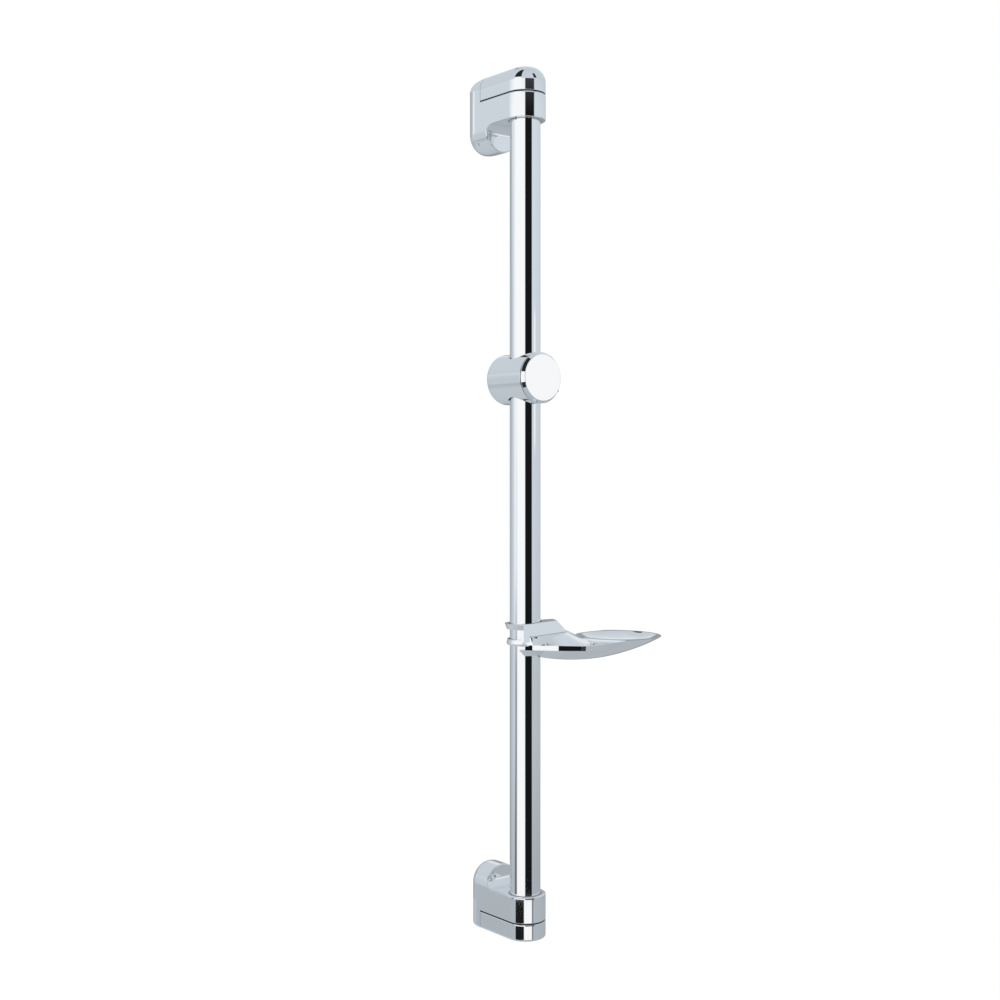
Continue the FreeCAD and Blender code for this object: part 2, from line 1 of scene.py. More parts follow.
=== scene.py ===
import json
import math
import bmesh
import bpy
import numpy as np
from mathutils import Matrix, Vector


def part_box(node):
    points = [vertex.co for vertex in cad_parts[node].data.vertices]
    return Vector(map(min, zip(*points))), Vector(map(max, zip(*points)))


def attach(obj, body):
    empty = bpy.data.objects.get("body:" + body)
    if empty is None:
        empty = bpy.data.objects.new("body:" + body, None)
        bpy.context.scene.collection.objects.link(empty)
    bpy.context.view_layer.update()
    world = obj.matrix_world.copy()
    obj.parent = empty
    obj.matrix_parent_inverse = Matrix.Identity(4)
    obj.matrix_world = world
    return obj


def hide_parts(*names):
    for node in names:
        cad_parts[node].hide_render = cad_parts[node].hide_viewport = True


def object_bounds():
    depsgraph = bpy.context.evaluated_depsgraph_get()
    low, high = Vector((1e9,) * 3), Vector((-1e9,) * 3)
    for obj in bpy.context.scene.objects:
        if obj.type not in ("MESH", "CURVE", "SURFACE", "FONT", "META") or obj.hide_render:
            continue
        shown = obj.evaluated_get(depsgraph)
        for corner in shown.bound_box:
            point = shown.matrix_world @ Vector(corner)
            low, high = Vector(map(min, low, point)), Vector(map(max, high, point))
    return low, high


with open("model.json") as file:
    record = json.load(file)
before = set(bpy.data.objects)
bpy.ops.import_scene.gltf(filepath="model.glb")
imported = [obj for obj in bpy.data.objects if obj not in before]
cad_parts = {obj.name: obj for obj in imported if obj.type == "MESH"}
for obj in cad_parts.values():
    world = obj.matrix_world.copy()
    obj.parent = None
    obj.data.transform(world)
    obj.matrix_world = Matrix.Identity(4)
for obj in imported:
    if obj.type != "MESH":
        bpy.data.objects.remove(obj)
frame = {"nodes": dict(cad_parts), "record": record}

cadLow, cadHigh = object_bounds()  # the CAD box; its bottom sets the floor's height
mm = 0.001
scene = bpy.context.scene

# Camera: level, to the left of the rail, as far away as the photograph was taken
cameraSet = {
    "place": (-0.7425, -0.9517, 0.0283),  # metres
    "azimuth": -38.6,                     # degrees round the rail
    "lens": 51.5,                         # mm on a 36 mm sensor
    "sensor": 36.0,
    "shiftY": -0.028,                     # the horizon lies a little above the picture's middle
    "clip": (0.01, 50.0),                 # metres
}


def makeCamera():
    s = cameraSet
    data = bpy.data.cameras.new("photoCamera")
    data.lens = s["lens"]
    data.sensor_width = s["sensor"]
    data.shift_y = s["shiftY"]
    data.clip_start, data.clip_end = s["clip"]
    camera = bpy.data.objects.new("photoCamera", data)
    scene.collection.objects.link(camera)
    camera.location = s["place"]
    camera.rotation_euler = (math.radians(90), 0, math.radians(s["azimuth"]))
    scene.camera = camera


makeCamera()
print("camera placed")

# Studio round the rail, as chrome sees it. Each belt holds at one height above or below the horizon,
# and its stops run once round the rail: degrees from the camera to its right, and brightness.
lowStops = [(-180, .34), (-115, .56), (-107, .54), (-104.5, .48), (-58, .50), (-54, .012), (-8, .012),
            (-6, 1.0), (35, 1.0), (39, .50), (41, .10), (43, .10), (47, .50), (150, .45), (165, .34),
            (180, .34)]
studioSet = {
    "tint": (0.92, 1.0, 1.07),    # of the greys; white stays white
    "whiteFrom": 0.75,            # from here up the tint fades
    "belts": [
        (-60.0, [(-180, .50), (-150, .56), (-100, .58), (-60, .54), (0, .48), (180, .48)]),
        (-27.0, [(-180, .50), (-150, .58), (-100, .60), (-60, .56), (0, .53), (60, .50), (180, .48)]),
        (-20.0, lowStops),
        (-16.62, lowStops),
        (-16.56, [(-180, .32), (-150, .36), (-121, .46), (-107, .53), (-104.5, .48), (-96, .52),
                  (-86, .46), (-80, .13), (-69, .13), (-61, 1.0), (-3, 1.0), (1, .008), (49, .008),
                  (54, .46), (150, .42), (165, .34), (180, .34)]),
        (-9.0, [(-180, .34), (-150, .42), (-121, .52), (-107, .60), (-96, .65), (-85, .70), (-78, .36),
                (-67, .30), (-59, 1.0), (-3, 1.0), (1, .008), (49, .008), (54, .57), (150, .52),
                (165, .34), (180, .34)]),
        (-3.0, [(-180, .34), (-150, .46), (-121, .54), (-107, .66), (-104.5, .60), (-101.5, .60),
                (-96, .76), (-85, .86), (-75, .90), (-66, .80), (-58, 1.0), (-3, 1.0), (1, .008),
                (49, .008), (54, .68), (150, .60), (165, .34), (180, .34)]),
        (6.0, [(-180, .34), (-150, .46), (-121, .51), (-107, .70), (-104.5, .63), (-101.5, .63),
               (-96, .82), (-85, .92), (-75, .98), (-71, 1.0), (-3, 1.0), (1, .008), (49, .008),
               (54, .74), (150, .66), (165, .34), (180, .34)]),
        (14.0, [(-180, .34), (-150, .40), (-121, .50), (-115, .62), (-112, .90), (-108.5, .90),
                (-106.5, .70), (-101, .70), (-96, .82), (-85, .91), (-77, .98), (-71, 1.0), (-3, 1.0),
                (1, .008), (49, .008), (54, .76), (150, .68), (165, .34), (180, .34)]),
        (15.7, [(-180, .34), (-150, .40), (-121, .50), (-115, .62), (-112, .86), (-108.5, .86),
                (-106.5, .70), (-101, .70), (-71, .95), (-3, .95), (1, .05), (49, .05), (54, .70),
                (150, .62), (180, .34)]),
        (17.2, [(-180, .60), (-60, .66), (0, .68), (60, .66), (180, .60)]),
        (25.0, [(-180, .86), (-174, .86), (-164, .66), (150, .66), (158, .74), (168, .86), (180, .86)]),
        (45.0, [(-180, .84), (-174, .84), (-164, .66), (150, .66), (158, .74), (168, .84), (180, .84)]),
        (56.0, [(-180, .72), (-174, .72), (-164, .65), (150, .65), (160, .70), (180, .72)]),
        (75.0, [(-180, .62), (180, .62)]),
    ],
    "cards": [                    # in degrees, and a level
        {"azimuth": 77.0, "width": 9.0, "height": 3.7, "rise": 4.4, "soft": 1.0, "level": 1.0},
        {"azimuth": 58.0, "width": 16.0, "height": 34.0, "rise": 26.0, "soft": 2.0, "level": 0.03},
        {"azimuth": -42.0, "width": 40.0, "height": 19.0, "rise": 8.0, "soft": 1.0, "level": 1.0},
        {"azimuth": -42.0, "width": 40.0, "height": 52.0, "rise": 56.0, "soft": 2.0, "level": 0.02},
        {"azimuth": -38.0, "width": 28.0, "height": -28.0, "rise": 16.0, "soft": 2.0, "level": 0.03},
        {"azimuth": -151.0, "width": 8.0, "height": 56.0, "rise": 11.0, "soft": 2.0, "level": 0.05},
    ],
    "fill": 0.9,                  # light on matt surfaces
}


def mathNode(tree, operation, *values):
    node = tree.nodes.new("ShaderNodeMath")
    node.operation = operation
    for slot, value in enumerate(values):
        if isinstance(value, (int, float)):
            node.inputs[slot].default_value = value
        else:
            tree.links.new(value, node.inputs[slot])
    return node.outputs[0]


def fadeNode(tree, value, start, end):
    node = tree.nodes.new("ShaderNodeMapRange")
    node.interpolation_type = "SMOOTHSTEP"
    node.inputs["From Min"].default_value = start
    node.inputs["From Max"].default_value = end
    tree.links.new(value, node.inputs["Value"])
    return node.outputs["Result"]


def dotNode(tree, direction, axis):
    node = tree.nodes.new("ShaderNodeVectorMath")
    node.operation = "DOT_PRODUCT"
    node.inputs[1].default_value = axis
    tree.links.new(direction, node.inputs[0])
    return node.outputs["Value"]


# Grey of a stop: tinted below the level where it turns to plain white
def greyOf(level):
    share = min(1.0, (1.0 - min(level, 1.0)) / (1.0 - studioSet["whiteFrom"]))
    return tuple(level * (1 + share * (part - 1)) for part in studioSet["tint"]) + (1,)


# Ramp once round the rail; all its stops get their places before their colours
def beltNode(tree, turn, stops):
    ramp = tree.nodes.new("ShaderNodeValToRGB")
    ramp.color_ramp.interpolation = "LINEAR"
    elements = ramp.color_ramp.elements
    while len(elements) < len(stops):
        elements.new(0.5)
    for element, (degrees, level) in zip(elements, stops):
        element.position = (degrees + 180) / 360
    for element, (degrees, level) in zip(elements, stops):
        element.color = greyOf(level)
    tree.links.new(turn, ramp.inputs["Fac"])
    return ramp.outputs["Color"]


def mixNode(tree, amount, first, second):
    node = tree.nodes.new("ShaderNodeMix")
    node.data_type = "RGBA"
    for name, value in (("A", first), ("B", second)):
        socket = [s for s in node.inputs if s.name == name and s.type == "RGBA"][0]
        if isinstance(value, tuple):
            socket.default_value = value
        else:
            tree.links.new(value, socket)
    tree.links.new(amount, [s for s in node.inputs if s.name == "Factor" and s.type == "VALUE"][0])
    return [s for s in node.outputs if s.type == "RGBA"][0]


# How far a card covers a direction: 1 within half its size from its middle, fading to 0 past that
def cardNode(tree, value, middle, size, soft):
    away = mathNode(tree, "ABSOLUTE", mathNode(tree, "SUBTRACT", value, middle))
    return fadeNode(tree, away, size / 2 + soft, size / 2)


# Brightness by direction: the turn round the rail is the arctangent of the direction's parts to the
# camera's right and towards the camera, the height is the arcsine of its upward part, and each belt
# fades into the next one up.
def makeStudio():
    world = bpy.data.worlds.new("studio")
    scene.world = world
    world.use_nodes = True
    tree = world.node_tree
    tree.nodes.clear()
    direction = tree.nodes.new("ShaderNodeTexCoord").outputs["Generated"]
    angle = math.radians(cameraSet["azimuth"])
    right = dotNode(tree, direction, (math.cos(angle), math.sin(angle), 0))
    ahead = dotNode(tree, direction, (math.sin(angle), -math.cos(angle), 0))
    turn = mathNode(tree, "DEGREES", mathNode(tree, "ARCTAN2", right, ahead))
    share = mathNode(tree, "DIVIDE", mathNode(tree, "ADD", turn, 180.0), 360.0)
    height = mathNode(tree, "DEGREES", mathNode(tree, "ARCSINE", dotNode(tree, direction, (0, 0, 1))))
    belts = studioSet["belts"]
    colour = beltNode(tree, share, belts[0][1])
    for (low, stopsBelow), (high, stops) in zip(belts, belts[1:]):
        colour = mixNode(tree, fadeNode(tree, height, low, high), colour, beltNode(tree, share, stops))
    for card in studioSet["cards"]:
        aside = cardNode(tree, turn, card["azimuth"], card["width"], card["soft"])
        above = cardNode(tree, height, card["height"], card["rise"], card["soft"])
        colour = mixNode(tree, mathNode(tree, "MULTIPLY", aside, above), colour, greyOf(card["level"]))
    path = tree.nodes.new("ShaderNodeLightPath")
    seen = mathNode(tree, "MAXIMUM", path.outputs["Is Glossy Ray"], path.outputs["Is Transmission Ray"])
    fill = studioSet["fill"]
    colour = mixNode(tree, seen, (fill, fill, fill, 1), colour)
    colour = mixNode(tree, path.outputs["Is Camera Ray"], colour, (1, 1, 1, 1))
    background = tree.nodes.new("ShaderNodeBackground")
    background.inputs["Strength"].default_value = 1.0
    tree.links.new(colour, background.inputs["Color"])
    output = tree.nodes.new("ShaderNodeOutputWorld")
    tree.links.new(background.outputs["Background"], output.inputs["Surface"])
    scene.view_settings.view_transform = "Standard"


makeStudio()
print("studio lit")

# Chrome and the other finishes
chrome = {"colour": (0.92, 0.935, 0.95), "metal": 1.0, "rough": 0.022}
finishSet = {
    "chrome_tube": {"colour": (0.93, 0.945, 0.96), "metal": 1.0, "rough": 0.02},
    "chrome_cast": chrome,
    "chrome_cover": chrome,
    "chrome_slider": chrome,
    "chrome_cradle": chrome,
    "chrome_dish": {**chrome, "rough": 0.025},
    "grey_plastic": {"colour": (0.52, 0.53, 0.55), "metal": 0.0, "rough": 0.45},
    "black_plastic": {"colour": (0.02, 0.02, 0.022), "metal": 0.0, "rough": 0.4},
    "soft_grip": {"colour": (0.30, 0.31, 0.32), "metal": 0.0, "rough": 0.7},
    "brass": {"colour": (0.76, 0.55, 0.25), "metal": 1.0, "rough": 0.25},
    # near-black dull finish that paints the shade of grooves and recesses onto chosen faces
    "paintedRecessShade": {"colour": (0.05, 0.055, 0.06), "metal": 0.0, "rough": 0.6},
    "steel": {"colour": (0.62, 0.63, 0.65), "metal": 1.0, "rough": 0.28},
}
wearSet = {
    "scale": 38.0,
    "detail": 3.0,
    "roughFrom": 0.7,             # times a finish's own roughness
    "roughTo": 1.3,
    "dull": 0.985,                # times its colour
}


def noiseNode(tree, place, scale, detail):
    node = tree.nodes.new("ShaderNodeTexNoise")
    node.inputs["Scale"].default_value = scale
    node.inputs["Detail"].default_value = detail
    tree.links.new(place, node.inputs["Vector"])
    return node.outputs["Fac"]


# Roughness wanders round its set value with a slow noise, as a wiped surface does, and the colour
# by a hundredth or two with it.
def makeFinish(name, look):
    material = bpy.data.materials.new(name)
    material.use_nodes = True
    tree = material.node_tree
    shader = tree.nodes["Principled BSDF"]
    shader.inputs["Metallic"].default_value = look["metal"]
    place = tree.nodes.new("ShaderNodeTexCoord").outputs["Object"]
    slow = noiseNode(tree, place, wearSet["scale"], wearSet["detail"])
    ramp = tree.nodes.new("ShaderNodeMapRange")
    ramp.inputs["To Min"].default_value = look["rough"] * wearSet["roughFrom"]
    ramp.inputs["To Max"].default_value = look["rough"] * wearSet["roughTo"]
    tree.links.new(slow, ramp.inputs["Value"])
    tree.links.new(ramp.outputs["Result"], shader.inputs["Roughness"])
    colour = look["colour"]
    dull = tuple(part * wearSet["dull"] for part in colour) + (1,)
    tree.links.new(mixNode(tree, slow, colour + (1,), dull), shader.inputs["Base Color"])
    return material


finishes = {name: makeFinish(name, look) for name, look in finishSet.items()}
for part in frame["record"]["subparts"]:
    node = frame["nodes"][part["node"]]
    node.data.materials.clear()
    node.data.materials.append(finishes[part["material_slot"]])
print("finishes mixed")

railLow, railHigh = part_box("rail_tube")
axisY = (railLow.y + railHigh.y) / 2  # the tube's axis, at x = 0
print("frame read, tube axis", round(axisY / mm, 2), "mm from the wall")

meshSet = {
    "merge": 0.002 * mm,          # points closer than this become one
    "speck": 0.001 * mm,          # edges shorter than this go
    "sharp": 30.0,                # degrees between faces
}


# Mesh of one or more grids of points: quads between neighbouring rows and columns, and from the last
# column back to the first where a grid is closed. Points that coincide are merged and open ends filled.
def meshOfGrids(name, grids):
    points, quads, start = [], [], 0
    for grid, closed in grids:
        rows, columns = grid.shape[:2]
        index = np.arange(rows * columns).reshape(rows, columns) + start
        if closed:
            index = np.hstack([index, index[:, :1]])
        corners = [index[:-1, :-1], index[:-1, 1:], index[1:, 1:], index[1:, :-1]]
        quads.append(np.stack(corners, -1).reshape(-1, 4))
        points.append(grid.reshape(-1, 3))
        start += rows * columns
    points, quads = np.concatenate(points), np.concatenate(quads)
    mesh = bpy.data.meshes.new(name)
    mesh.vertices.add(len(points))
    mesh.vertices.foreach_set("co", points.astype(np.float32).ravel())
    mesh.loops.add(quads.size)
    mesh.loops.foreach_set("vertex_index", quads.astype(np.int32).ravel())
    mesh.polygons.add(len(quads))
    mesh.polygons.foreach_set("loop_start", np.arange(0, quads.size, 4, dtype=np.int32))
    mesh.update(calc_edges=True)
    shape = bmesh.new()
    shape.from_mesh(mesh)
    bmesh.ops.remove_doubles(shape, verts=shape.verts, dist=meshSet["merge"])
    bmesh.ops.dissolve_degenerate(shape, edges=shape.edges, dist=meshSet["speck"])
    bmesh.ops.holes_fill(shape, edges=[edge for edge in shape.edges if edge.is_boundary], sides=0)
    loose = sum(not edge.is_manifold for edge in shape.edges)
    if loose:
        print(name, "has", loose, "open edges")
    bmesh.ops.recalc_face_normals(shape, faces=shape.faces)
    shape.to_mesh(mesh)
    shape.free()
    return mesh


def makePiece(name, grids):
    piece = bpy.data.objects.new(name, meshOfGrids(name, grids))
    scene.collection.objects.link(piece)
    return piece


# Joins a tool to a piece or cuts it out, and keeps only the result
def combine(piece, tool, operation):
    step = piece.modifiers.new("combine", "BOOLEAN")
    step.operation = operation
    step.solver = "MANIFOLD"
    step.object = tool
    graph = bpy.context.evaluated_depsgraph_get()
    mesh = bpy.data.meshes.new_from_object(piece.evaluated_get(graph))
    piece.modifiers.remove(step)
    piece.data = mesh
    bpy.data.objects.remove(tool)


# Smooth shading between sharp edges and one finish; the piece is parented to its body and the CAD nodes it
# stands for are hidden
def dressPiece(piece, body, slot, nodes, sharp=meshSet["sharp"], evened=True):
    mesh = piece.data
    shape = bmesh.new()
    shape.from_mesh(mesh)
    bmesh.ops.triangulate(shape, faces=[face for face in shape.faces if len(face.verts) > 4])
    shape.to_mesh(mesh)
    shape.free()
    mesh.name = piece.name
    mesh.polygons.foreach_set("use_smooth", np.ones(len(mesh.polygons), bool))
    mesh.set_sharp_from_angle(angle=math.radians(sharp))
    if evened:
        step = piece.modifiers.new("evenShading", "WEIGHTED_NORMAL")
        step.keep_sharp = True
    mesh.materials.clear()
    mesh.materials.append(finishes[slot])
    mesh.polygons.foreach_set("material_index", np.zeros(len(mesh.polygons), np.int32))
    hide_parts(*nodes)
    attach(piece, body)
    print(piece.name, len(mesh.polygons), "faces")


# One value of every face, as rows of three numbers
def faceValues(mesh, name):
    values = np.empty(len(mesh.polygons) * 3, np.float32)
    mesh.polygons.foreach_get(name, values)
    return values.reshape(-1, 3)


# Paints shade on the chosen faces: they take a near-black dull finish where a groove should look dark
def paintShadeOnFaces(mesh, chosen):
    mesh.materials.append(finishes["paintedRecessShade"])
    mesh.polygons.foreach_set("material_index", chosen.astype(np.int32))


# Even steps from 0 to a value, without the 0
def steps(end, count):
    return np.linspace(0, end, count + 1)[1:]


# Smooth step from 0 to 1 between two values
def smooth(value, start, end):
    t = np.clip((value - start) / (end - start), 0, 1)
    return t * t * (3 - 2 * t)


# Round of a profile's corner: points on a circle between two angles, in degrees
def bend(across, along, radius, start, end, count):
    angle = np.radians(np.linspace(start, end, count))
    return list(zip(across + radius * np.cos(angle), along + radius * np.sin(angle)))


# Turned surface: every profile point, a radius and a height along the axis, runs once round the axis
def turned(profile, centre, axis, segments):
    radius, height = np.array(profile, float).T[:, :, None, None]
    turn = np.linspace(0, 2 * np.pi, segments, endpoint=False)[None, :, None]
    axis = np.array(axis, float)
    first = np.array([axis[1], axis[2], axis[0]])
    second = np.cross(axis, first)
    return np.array(centre) + radius * (np.cos(turn) * first + np.sin(turn) * second) + height * axis


# Rod that cuts a hole: one radius turned round the axis between two heights, with flat ends
def rod(name, radius, start, end, centre, axis, segments=96):
    profile = [(0, start), (radius, start), (radius, end), (0, end)]
    return makePiece(name, [(turned(profile, centre, axis, segments), True)])


# Tube
tubeSet = {"wall": 1.0 * mm, "segments": 200}


# The wall's section, a rectangle, turned round the axis
def makeTube():
    outer = (railHigh.x - railLow.x) / 2
    inner = outer - tubeSet["wall"]
    low, high = railLow.z, railHigh.z
    profile = [(outer, low), (outer, high), (inner, high), (inner, low), (outer, low)]
    grid = turned(profile, (0, axisY, 0), (0, 0, 1), tubeSet["segments"])
    dressPiece(makePiece("railTube", [(grid, True)]), "rail", "chrome_tube", ["rail_tube"])


makeTube()
print("tube made")

# Wall brackets, measured up from the arm's inner face, and the covers over their screws
bracketSet = {
    "arm": 20.5 * mm,          # height of the arm
    "groove": 1.0 * mm,        # between arm and cover
    "plate": 16.0 * mm,        # depth of the wall plate behind the cover
    "seam": 0.3 * mm,
    "backDepth": 10.2 * mm,    # rounding of the flanks at the wall
    "backShare": 0.9,          # of the half width, the most that this rounding takes
    "tongueDepth": 24.3 * mm,
    "root": 7.0 * mm,          # hollow under the arm
    "edge": 0.4 * mm,          # broken edges
    "flat": 0.7 * mm,          # row beside a broken edge that keeps the wall's shading flat
    "rimInset": 2.22 * mm,
    "rimPlay": 0.02 * mm,      # between rim and cover
    "lap": 4.0 * mm,           # cover over rim
    "socket": 13.84 * mm,
    "socketDepth": 16.5 * mm,
    "screwHole": 2.75 * mm,
    "screwLevel": 28.0 * mm,
    "weepHole": 1.0 * mm,
    "weepReach": 13.4 * mm,
    "weepFromWall": 10.5 * mm,
    "weepDepth": 5.0 * mm,
    "ends": {
        "upper": {"tongue": 20.5 * mm, "cover": 21.5 * mm, "coverRound": 12.0 * mm, "wallRound": 12.0 * mm,
                  "backWidth": 2.0 * mm, "tongueEdge": 1.2 * mm, "up": 1},
        "lower": {"tongue": 17.0 * mm, "cover": 13.7 * mm, "coverRound": 2.0 * mm, "wallRound": 3.5 * mm,
                  "backWidth": 10.0 * mm, "tongueEdge": 0.6 * mm, "up": -1},
    },
    "recessMargin": 0.1 * mm,  # in front of the plate, where the painted shade of the groove starts
    "levelMargin": 0.01 * mm,
    "frontColumns": 30,
    "flankSteps": 5,           # each, before and after the tongue's root
    "edgeSteps": 3,            # of the flank, along which the edge under the arm goes on
    "sideSteps": 3,
    "backSteps": 11,
    "coverSteps": 6,
    "edgeRows": 4,
    "rootRows": 9,
    "plateRows": 16,
    "plateFirst": 0.02,        # radians of the rise to the top, where the first of them lies
    "coverRows": 18,
    "tipRows": 49,
}


# Turns a bracket's own points, up from the arm's face, to the upper or the lower end of the tube
def toEnd(points, armFace, up):
    return points * np.array([up, 1, up]) + np.array([0, 0, up * armFace])


# How far the round of an end of radius r has drawn in at a height h below the end's top
def drawnIn(radius, below):
    below = np.clip(below, 0, radius)
    return radius - np.sqrt(radius ** 2 - (radius - below) ** 2)


# Broken edge, a quarter circle: how far in each of its rows lies, and how far from the end face
def brokenEdge():
    turn = np.radians(np.linspace(90, 0, bracketSet["edgeRows"]))
    return bracketSet["edge"] * (1 - np.cos(turn)), bracketSet["edge"] * (1 - np.sin(turn))


# Tongue's front: flat, then a quarter circle out to the arm's face. Its edge at the flank is rounded,
# and the round narrows to a broken edge as the quarter circle reaches the arm.
def tongueFront(end, level, fromFlank):
    s = bracketSet
    root = s["root"]
    rise = np.clip(level + root, 0, root)
    depth = s["tongueDepth"] + root - np.sqrt(root ** 2 - rise ** 2)
    radius = s["edge"] + (end["tongueEdge"] - s["edge"]) * smooth(root - rise, 0, root)
    return -depth + drawnIn(radius, fromFlank)


# Half outline of a bracket at one level, from the middle of its front to the middle of its back.
# The front is given; the flank runs straight back past the tongue's root to the plate, the plate's
# side goes on at its own half width, and a quarter ellipse ends it at the wall.
def halfOutline(frontX, frontY, plateHalf, backWidth, backY, rootY):
    s = bracketSet
    plate = -s["plate"]
    cornerDepth = min(s["backDepth"], backY - plate - s["edge"])
    width = min(backWidth, plateHalf * s["backShare"])
    run = steps(1, s["flankSteps"])
    side = steps(1, s["sideSteps"])
    corner = np.radians(steps(90, s["backSteps"]))
    x = np.concatenate([frontX, np.full(2 * run.size, frontX[-1]), np.full(1 + side.size, plateHalf),
                        plateHalf - width + width * np.cos(corner), (plateHalf - width) * (1 - side)])
    y = np.concatenate([frontY, frontY[-1] + (rootY - frontY[-1]) * run, rootY + (plate - rootY) * run,
                        [plate], plate + (backY - cornerDepth - plate) * side,
                        backY - cornerDepth + cornerDepth * np.sin(corner), np.full(side.size, backY)])
    return x, y


# Whole outline as a row of points: the half and its mirror image
def fullRow(x, y, level):
    x = np.concatenate([x, -x[-2:0:-1]])
    y = np.concatenate([y, y[-2:0:-1]])
    return np.stack([x, y, np.broadcast_to(level, x.shape)], -1)


# Arm's front, a quarter circle round the tube's axis: sine across and cosine out, t from 0 to 1
def noseFront(half, t):
    return half * np.sin(np.pi * t / 2), axisY - half * np.cos(np.pi * t / 2)


# Bracket as rows of outlines, level by level: the tongue down to its straight part, the arm, the rim
# under the cover and the plate; and the tongue's round end, the same outline turned about its middle.
def bracketGrids(end, half):
    s = bracketSet
    t = np.linspace(0, 1, s["frontColumns"])
    straight = end["tongue"] - half
    top = s["arm"] + s["groove"] + end["cover"]
    edge, root, plate, flank = s["edge"], s["root"], -s["plate"], s["flankSteps"]
    armRoot = tongueFront(end, 0.0, 0.0)
    across = half * np.sin(np.pi * t / 2)
    insets, rises = brokenEdge()
    rows = []

    def outline(front, rootY=armRoot, plateHalf=half, backY=0.0):
        return halfOutline(*front, plateHalf, end["backWidth"], backY, rootY)

    # tongue
    for level in -root + root * np.sin(np.linspace(math.asin(1 - straight / root), np.pi / 2, s["rootRows"])):
        front = tongueFront(end, level, half - across)
        rows.append(fullRow(*outline((across, front), front[-1]), level))
    # arm; the edge under it ends at the tongue
    whole = np.stack(outline(noseFront(half, t)))
    edgeEnd = t.size + s["edgeSteps"]
    overhang = np.zeros(whole.shape[1])
    overhang[:edgeEnd], overhang[edgeEnd] = 1, 0.5
    for inset, level in zip(insets, rises):
        drawn = np.stack(outline(noseFront(half - inset, t)))
        rows.append(fullRow(*(whole + overhang * (drawn - whole)), level))
    for level in (edge + s["flat"], s["arm"] - edge - s["flat"]):
        rows.append(fullRow(*whole, level))
    for inset, level in zip(insets[::-1], s["arm"] - rises[::-1]):
        rows.append(fullRow(*outline(noseFront(half - inset, t)), level))
    # rim
    rimTop = s["arm"] + s["groove"] + s["lap"]
    for level in (s["arm"], rimTop):
        rows.append(fullRow(*outline(noseFront(half - s["rimInset"], t)), level))
    # plate
    rising = max(rimTop, top - max(end["coverRound"], end["wallRound"]))
    climb = np.sin(np.linspace(s["plateFirst"], np.pi / 2, s["plateRows"]))
    for level in np.concatenate([[rimTop], rising + (top - rising) * climb]):
        plateHalf = half - drawnIn(end["coverRound"], top - level)
        front = plateHalf * np.sin(np.pi * t / 2), np.full(t.size, plate)
        backY = -drawnIn(end["wallRound"], top - level)
        rows.append(fullRow(*outline(front, plate, plateHalf, backY), level))
    # the tongue's round end
    front = tongueFront(end, -straight, half - across)
    x, y = outline((across, front), front[-1])
    turn = np.linspace(0, np.pi, s["tipRows"])[:, None]
    level = -straight - x * np.sin(turn)
    tipY = np.broadcast_to(y, level.shape).copy()
    tipY[:, :t.size] = tongueFront(end, level[:, :t.size], half - across)
    start = tipY[:, t.size - 1:t.size]
    tipY[:, t.size:t.size + flank] = start
    tipY[:, t.size + flank:t.size + 2 * flank] = start + (plate - start) * steps(1, flank)
    tip = np.stack([x * np.cos(turn), tipY, level], -1)
    return [(np.stack(rows), True), (tip, False)]


# Cover as rows of outlines: down its inner wall, round the broken edge, up the flank, and in along a
# quarter circle to the top. Each outline is the arm's front at its own reach, with straight sides and back.
def coverGrid(end, half):
    s = bracketSet
    t = np.linspace(0, 1, s["frontColumns"])
    side = steps(1, s["coverSteps"])
    base = s["arm"] + s["groove"]
    top = base + end["cover"]
    back = -s["plate"] - s["seam"]
    edge = s["edge"]
    rows = []

    def addRow(reach, level, backY=back):
        x, y = noseFront(reach, t)
        x = np.concatenate([x, np.full(side.size, reach), reach * (1 - side)])
        y = np.concatenate([y, axisY + (backY - axisY) * side, np.full(side.size, backY)])
        rows.append(fullRow(x, y, level))

    inner = half - s["rimInset"] + s["rimPlay"]
    for level in (base + s["lap"] + edge, base):
        addRow(inner, level, back - edge)
    for inset, rise in zip(*brokenEdge()):
        addRow(half - inset, base + rise)
    bendStart = top - end["coverRound"]
    for level in (base + edge + s["flat"], bendStart - s["flat"]):
        addRow(half, level)
    for level in bendStart + end["coverRound"] * np.sin(np.linspace(0, np.pi / 2, s["coverRows"])):
        addRow(half - drawnIn(end["coverRound"], top - level), level)
    return np.stack(rows)


# Painted shade in the groove between arm and cover: faces that lie between the two heights, in front of the
# plate, turn near-black
def paintGrooveShade(piece, low, high):
    centre = faceValues(piece.data, "center")
    level = np.abs(centre[:, 2])
    before = centre[:, 1] < -bracketSet["plate"] - bracketSet["recessMargin"]
    paintShadeOnFaces(piece.data, (level > low) & (level < high) & before)


